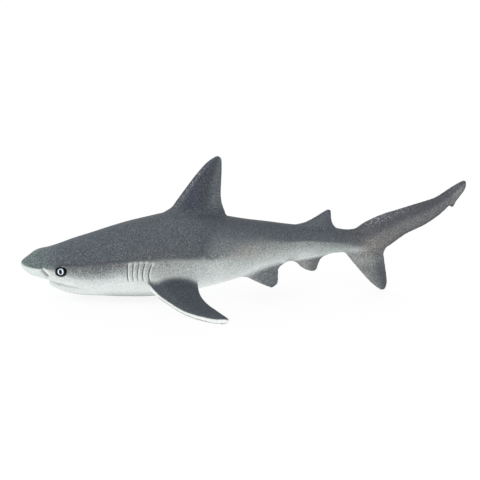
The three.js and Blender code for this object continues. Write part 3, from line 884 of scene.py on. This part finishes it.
def eye_material():
    """Glossy paint in rings: black round a pale iris, with an upright oval pupil."""
    s = Shader("eye_paint")
    u, v = s.mask("eye_u"), s.mask("eye_v")

    def ring(half_u, half_v):
        """Distance from the iris's middle, as a share of an oval's size."""
        a, b = s.math("DIVIDE", u, half_u), s.math("DIVIDE", v, half_v)
        return s.math("SQRT", s.math("ADD", s.math("MULTIPLY", a, a), s.math("MULTIPLY", b, b)))

    wobble = s.math("MULTIPLY", s.noise(0.8, 1.0, 0.5), 0.07)
    from_middle = s.math("ADD", ring(*IRIS_HALF), wobble)
    iris, rim = s.step(from_middle, 1.05, 0.94), s.step(from_middle, 0.80, 1.0)
    pupil = s.step(s.math("ADD", ring(*PUPIL_HALF), wobble), 1.06, 0.94)
    black = display(5, 9, 15)
    pale = s.mix(rim, display(240, 250, 255), display(140, 174, 202))
    colour = s.mix(iris, black, pale)
    colour = s.mix(pupil, colour, black)
    s.put(s.surface.inputs["Base Color"], colour)
    s.put(s.surface.inputs["Roughness"], 0.3)
    s.put(s.surface.inputs["Specular IOR Level"], 0.2)
    return s.material


def eyeball(name, centre, outward, material):
    """A flattened ball with its pole looking outward, square to the skin round it."""
    bm = bmesh.new()
    bmesh.ops.create_uvsphere(bm, u_segments=72, v_segments=40, radius=1.0)
    local = np.array([v.co[:] for v in bm.verts])
    mesh = bpy.data.meshes.new(name)
    size = local * (EYE_HALF[0], EYE_HALF[2], EYE_HALF[1])
    right = Vector((0, 0, 1)).cross(outward).normalized()
    right.rotate(Quaternion(outward, -EYE_TURN * np.sign(outward.y)))
    upward = outward.cross(right)
    frame_of_eye = np.array([right[:], upward[:], outward[:]])
    for vert, place in zip(bm.verts, size @ frame_of_eye):
        vert.co = Vector(place) / MM + centre
    bmesh.ops.recalc_face_normals(bm, faces=bm.faces)
    bm.to_mesh(mesh)
    bm.free()
    # Places on the ball's outer half, counted from the iris's middle. The inner half is black.
    along_eye = size[:, 0] + IRIS_MIDDLE[0] * np.sign(outward.y)
    set_mask(mesh, "eye_u", np.where(local[:, 2] > 0, along_eye, 9.0))
    set_mask(mesh, "eye_v", size[:, 1] - IRIS_MIDDLE[1])
    mesh.shade_smooth()
    mesh.materials.append(material)
    ball = bpy.data.objects.new(name, mesh)
    bpy.context.scene.collection.objects.link(ball)
    return ball


paint = eye_material()
for name in EYES:
    ball = eyeball(f"painted_{name}", *eye_places[name], paint)
    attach(ball, "root")
    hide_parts(name)

# ---------------------------------------------------------------- floor, light and camera

FLOOR_HALF = 6.0  # metres, as is all below
FLOOR_GREY, FLOOR_GLOW = 0.15, 0.845
WHITE = (1.0, 1.0, 1.0, 1.0)
TARGET = Vector((NOSE_X + 0.08748, 0.0, 0.0235))  # what the camera and the lamps look at
ELEVATION, DISTANCE = math.radians(16.0), 0.53333  # of the camera from the target


def floor_material():
    """White that is lit from below, like a light table."""
    s = Shader("pale_floor")
    s.put(s.surface.inputs["Base Color"], (FLOOR_GREY, FLOOR_GREY, FLOOR_GREY, 1.0))
    s.put(s.surface.inputs["Roughness"], 0.9)
    s.put(s.surface.inputs["Specular IOR Level"], 0.1)
    s.put(s.surface.inputs["Emission Color"], WHITE)
    s.put(s.surface.inputs["Emission Strength"], FLOOR_GLOW)
    return s.material


floor_corners = [(FLOOR_HALF * i, FLOOR_HALF * j, 0) for i, j in ((-1, -1), (1, -1), (1, 1), (-1, 1))]
floor_mesh = bpy.data.meshes.new("floor")
floor_mesh.from_pydata(floor_corners, [], [(0, 1, 2, 3)])
floor_mesh.materials.append(floor_material())
floor = bpy.data.objects.new("floor", floor_mesh)
bpy.context.scene.collection.objects.link(floor)
floor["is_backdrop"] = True

world = bpy.data.worlds.new("studio")
bpy.context.scene.world = world
world.use_nodes = True
world.node_tree.nodes["Background"].inputs["Color"].default_value = WHITE
world.node_tree.nodes["Background"].inputs["Strength"].default_value = 1.0


def area_light(name, place, size, watts):
    """A round lamp at a place counted from the target, looking at it."""
    data = bpy.data.lights.new(name, "AREA")
    data.shape, data.size, data.energy = "DISK", size, watts
    light = bpy.data.objects.new(name, data)
    light.location = TARGET + Vector(place)
    light.rotation_mode = "QUATERNION"
    light.rotation_quaternion = Vector(place).to_track_quat("Z", "Y")
    bpy.context.scene.collection.objects.link(light)


area_light("key", (-0.35, -0.55, 0.85), 0.7, 0.25)
area_light("back", (0.2, 0.8, 0.8), 0.8, 0.15)

camera_data = bpy.data.cameras.new("camera")
camera_data.lens, camera_data.sensor_width = 100.0, 36.0
camera_data.clip_start, camera_data.clip_end = 0.01, 50.0
camera = bpy.data.objects.new("camera", camera_data)
backward = Vector((0.0, -math.cos(ELEVATION), math.sin(ELEVATION)))
camera.location = TARGET + backward * DISTANCE
camera.rotation_mode = "QUATERNION"
camera.rotation_quaternion = backward.to_track_quat("Z", "Y")
bpy.context.scene.collection.objects.link(camera)
bpy.context.scene.camera = camera
bpy.context.scene.view_settings.view_transform = "Standard"

low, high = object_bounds()
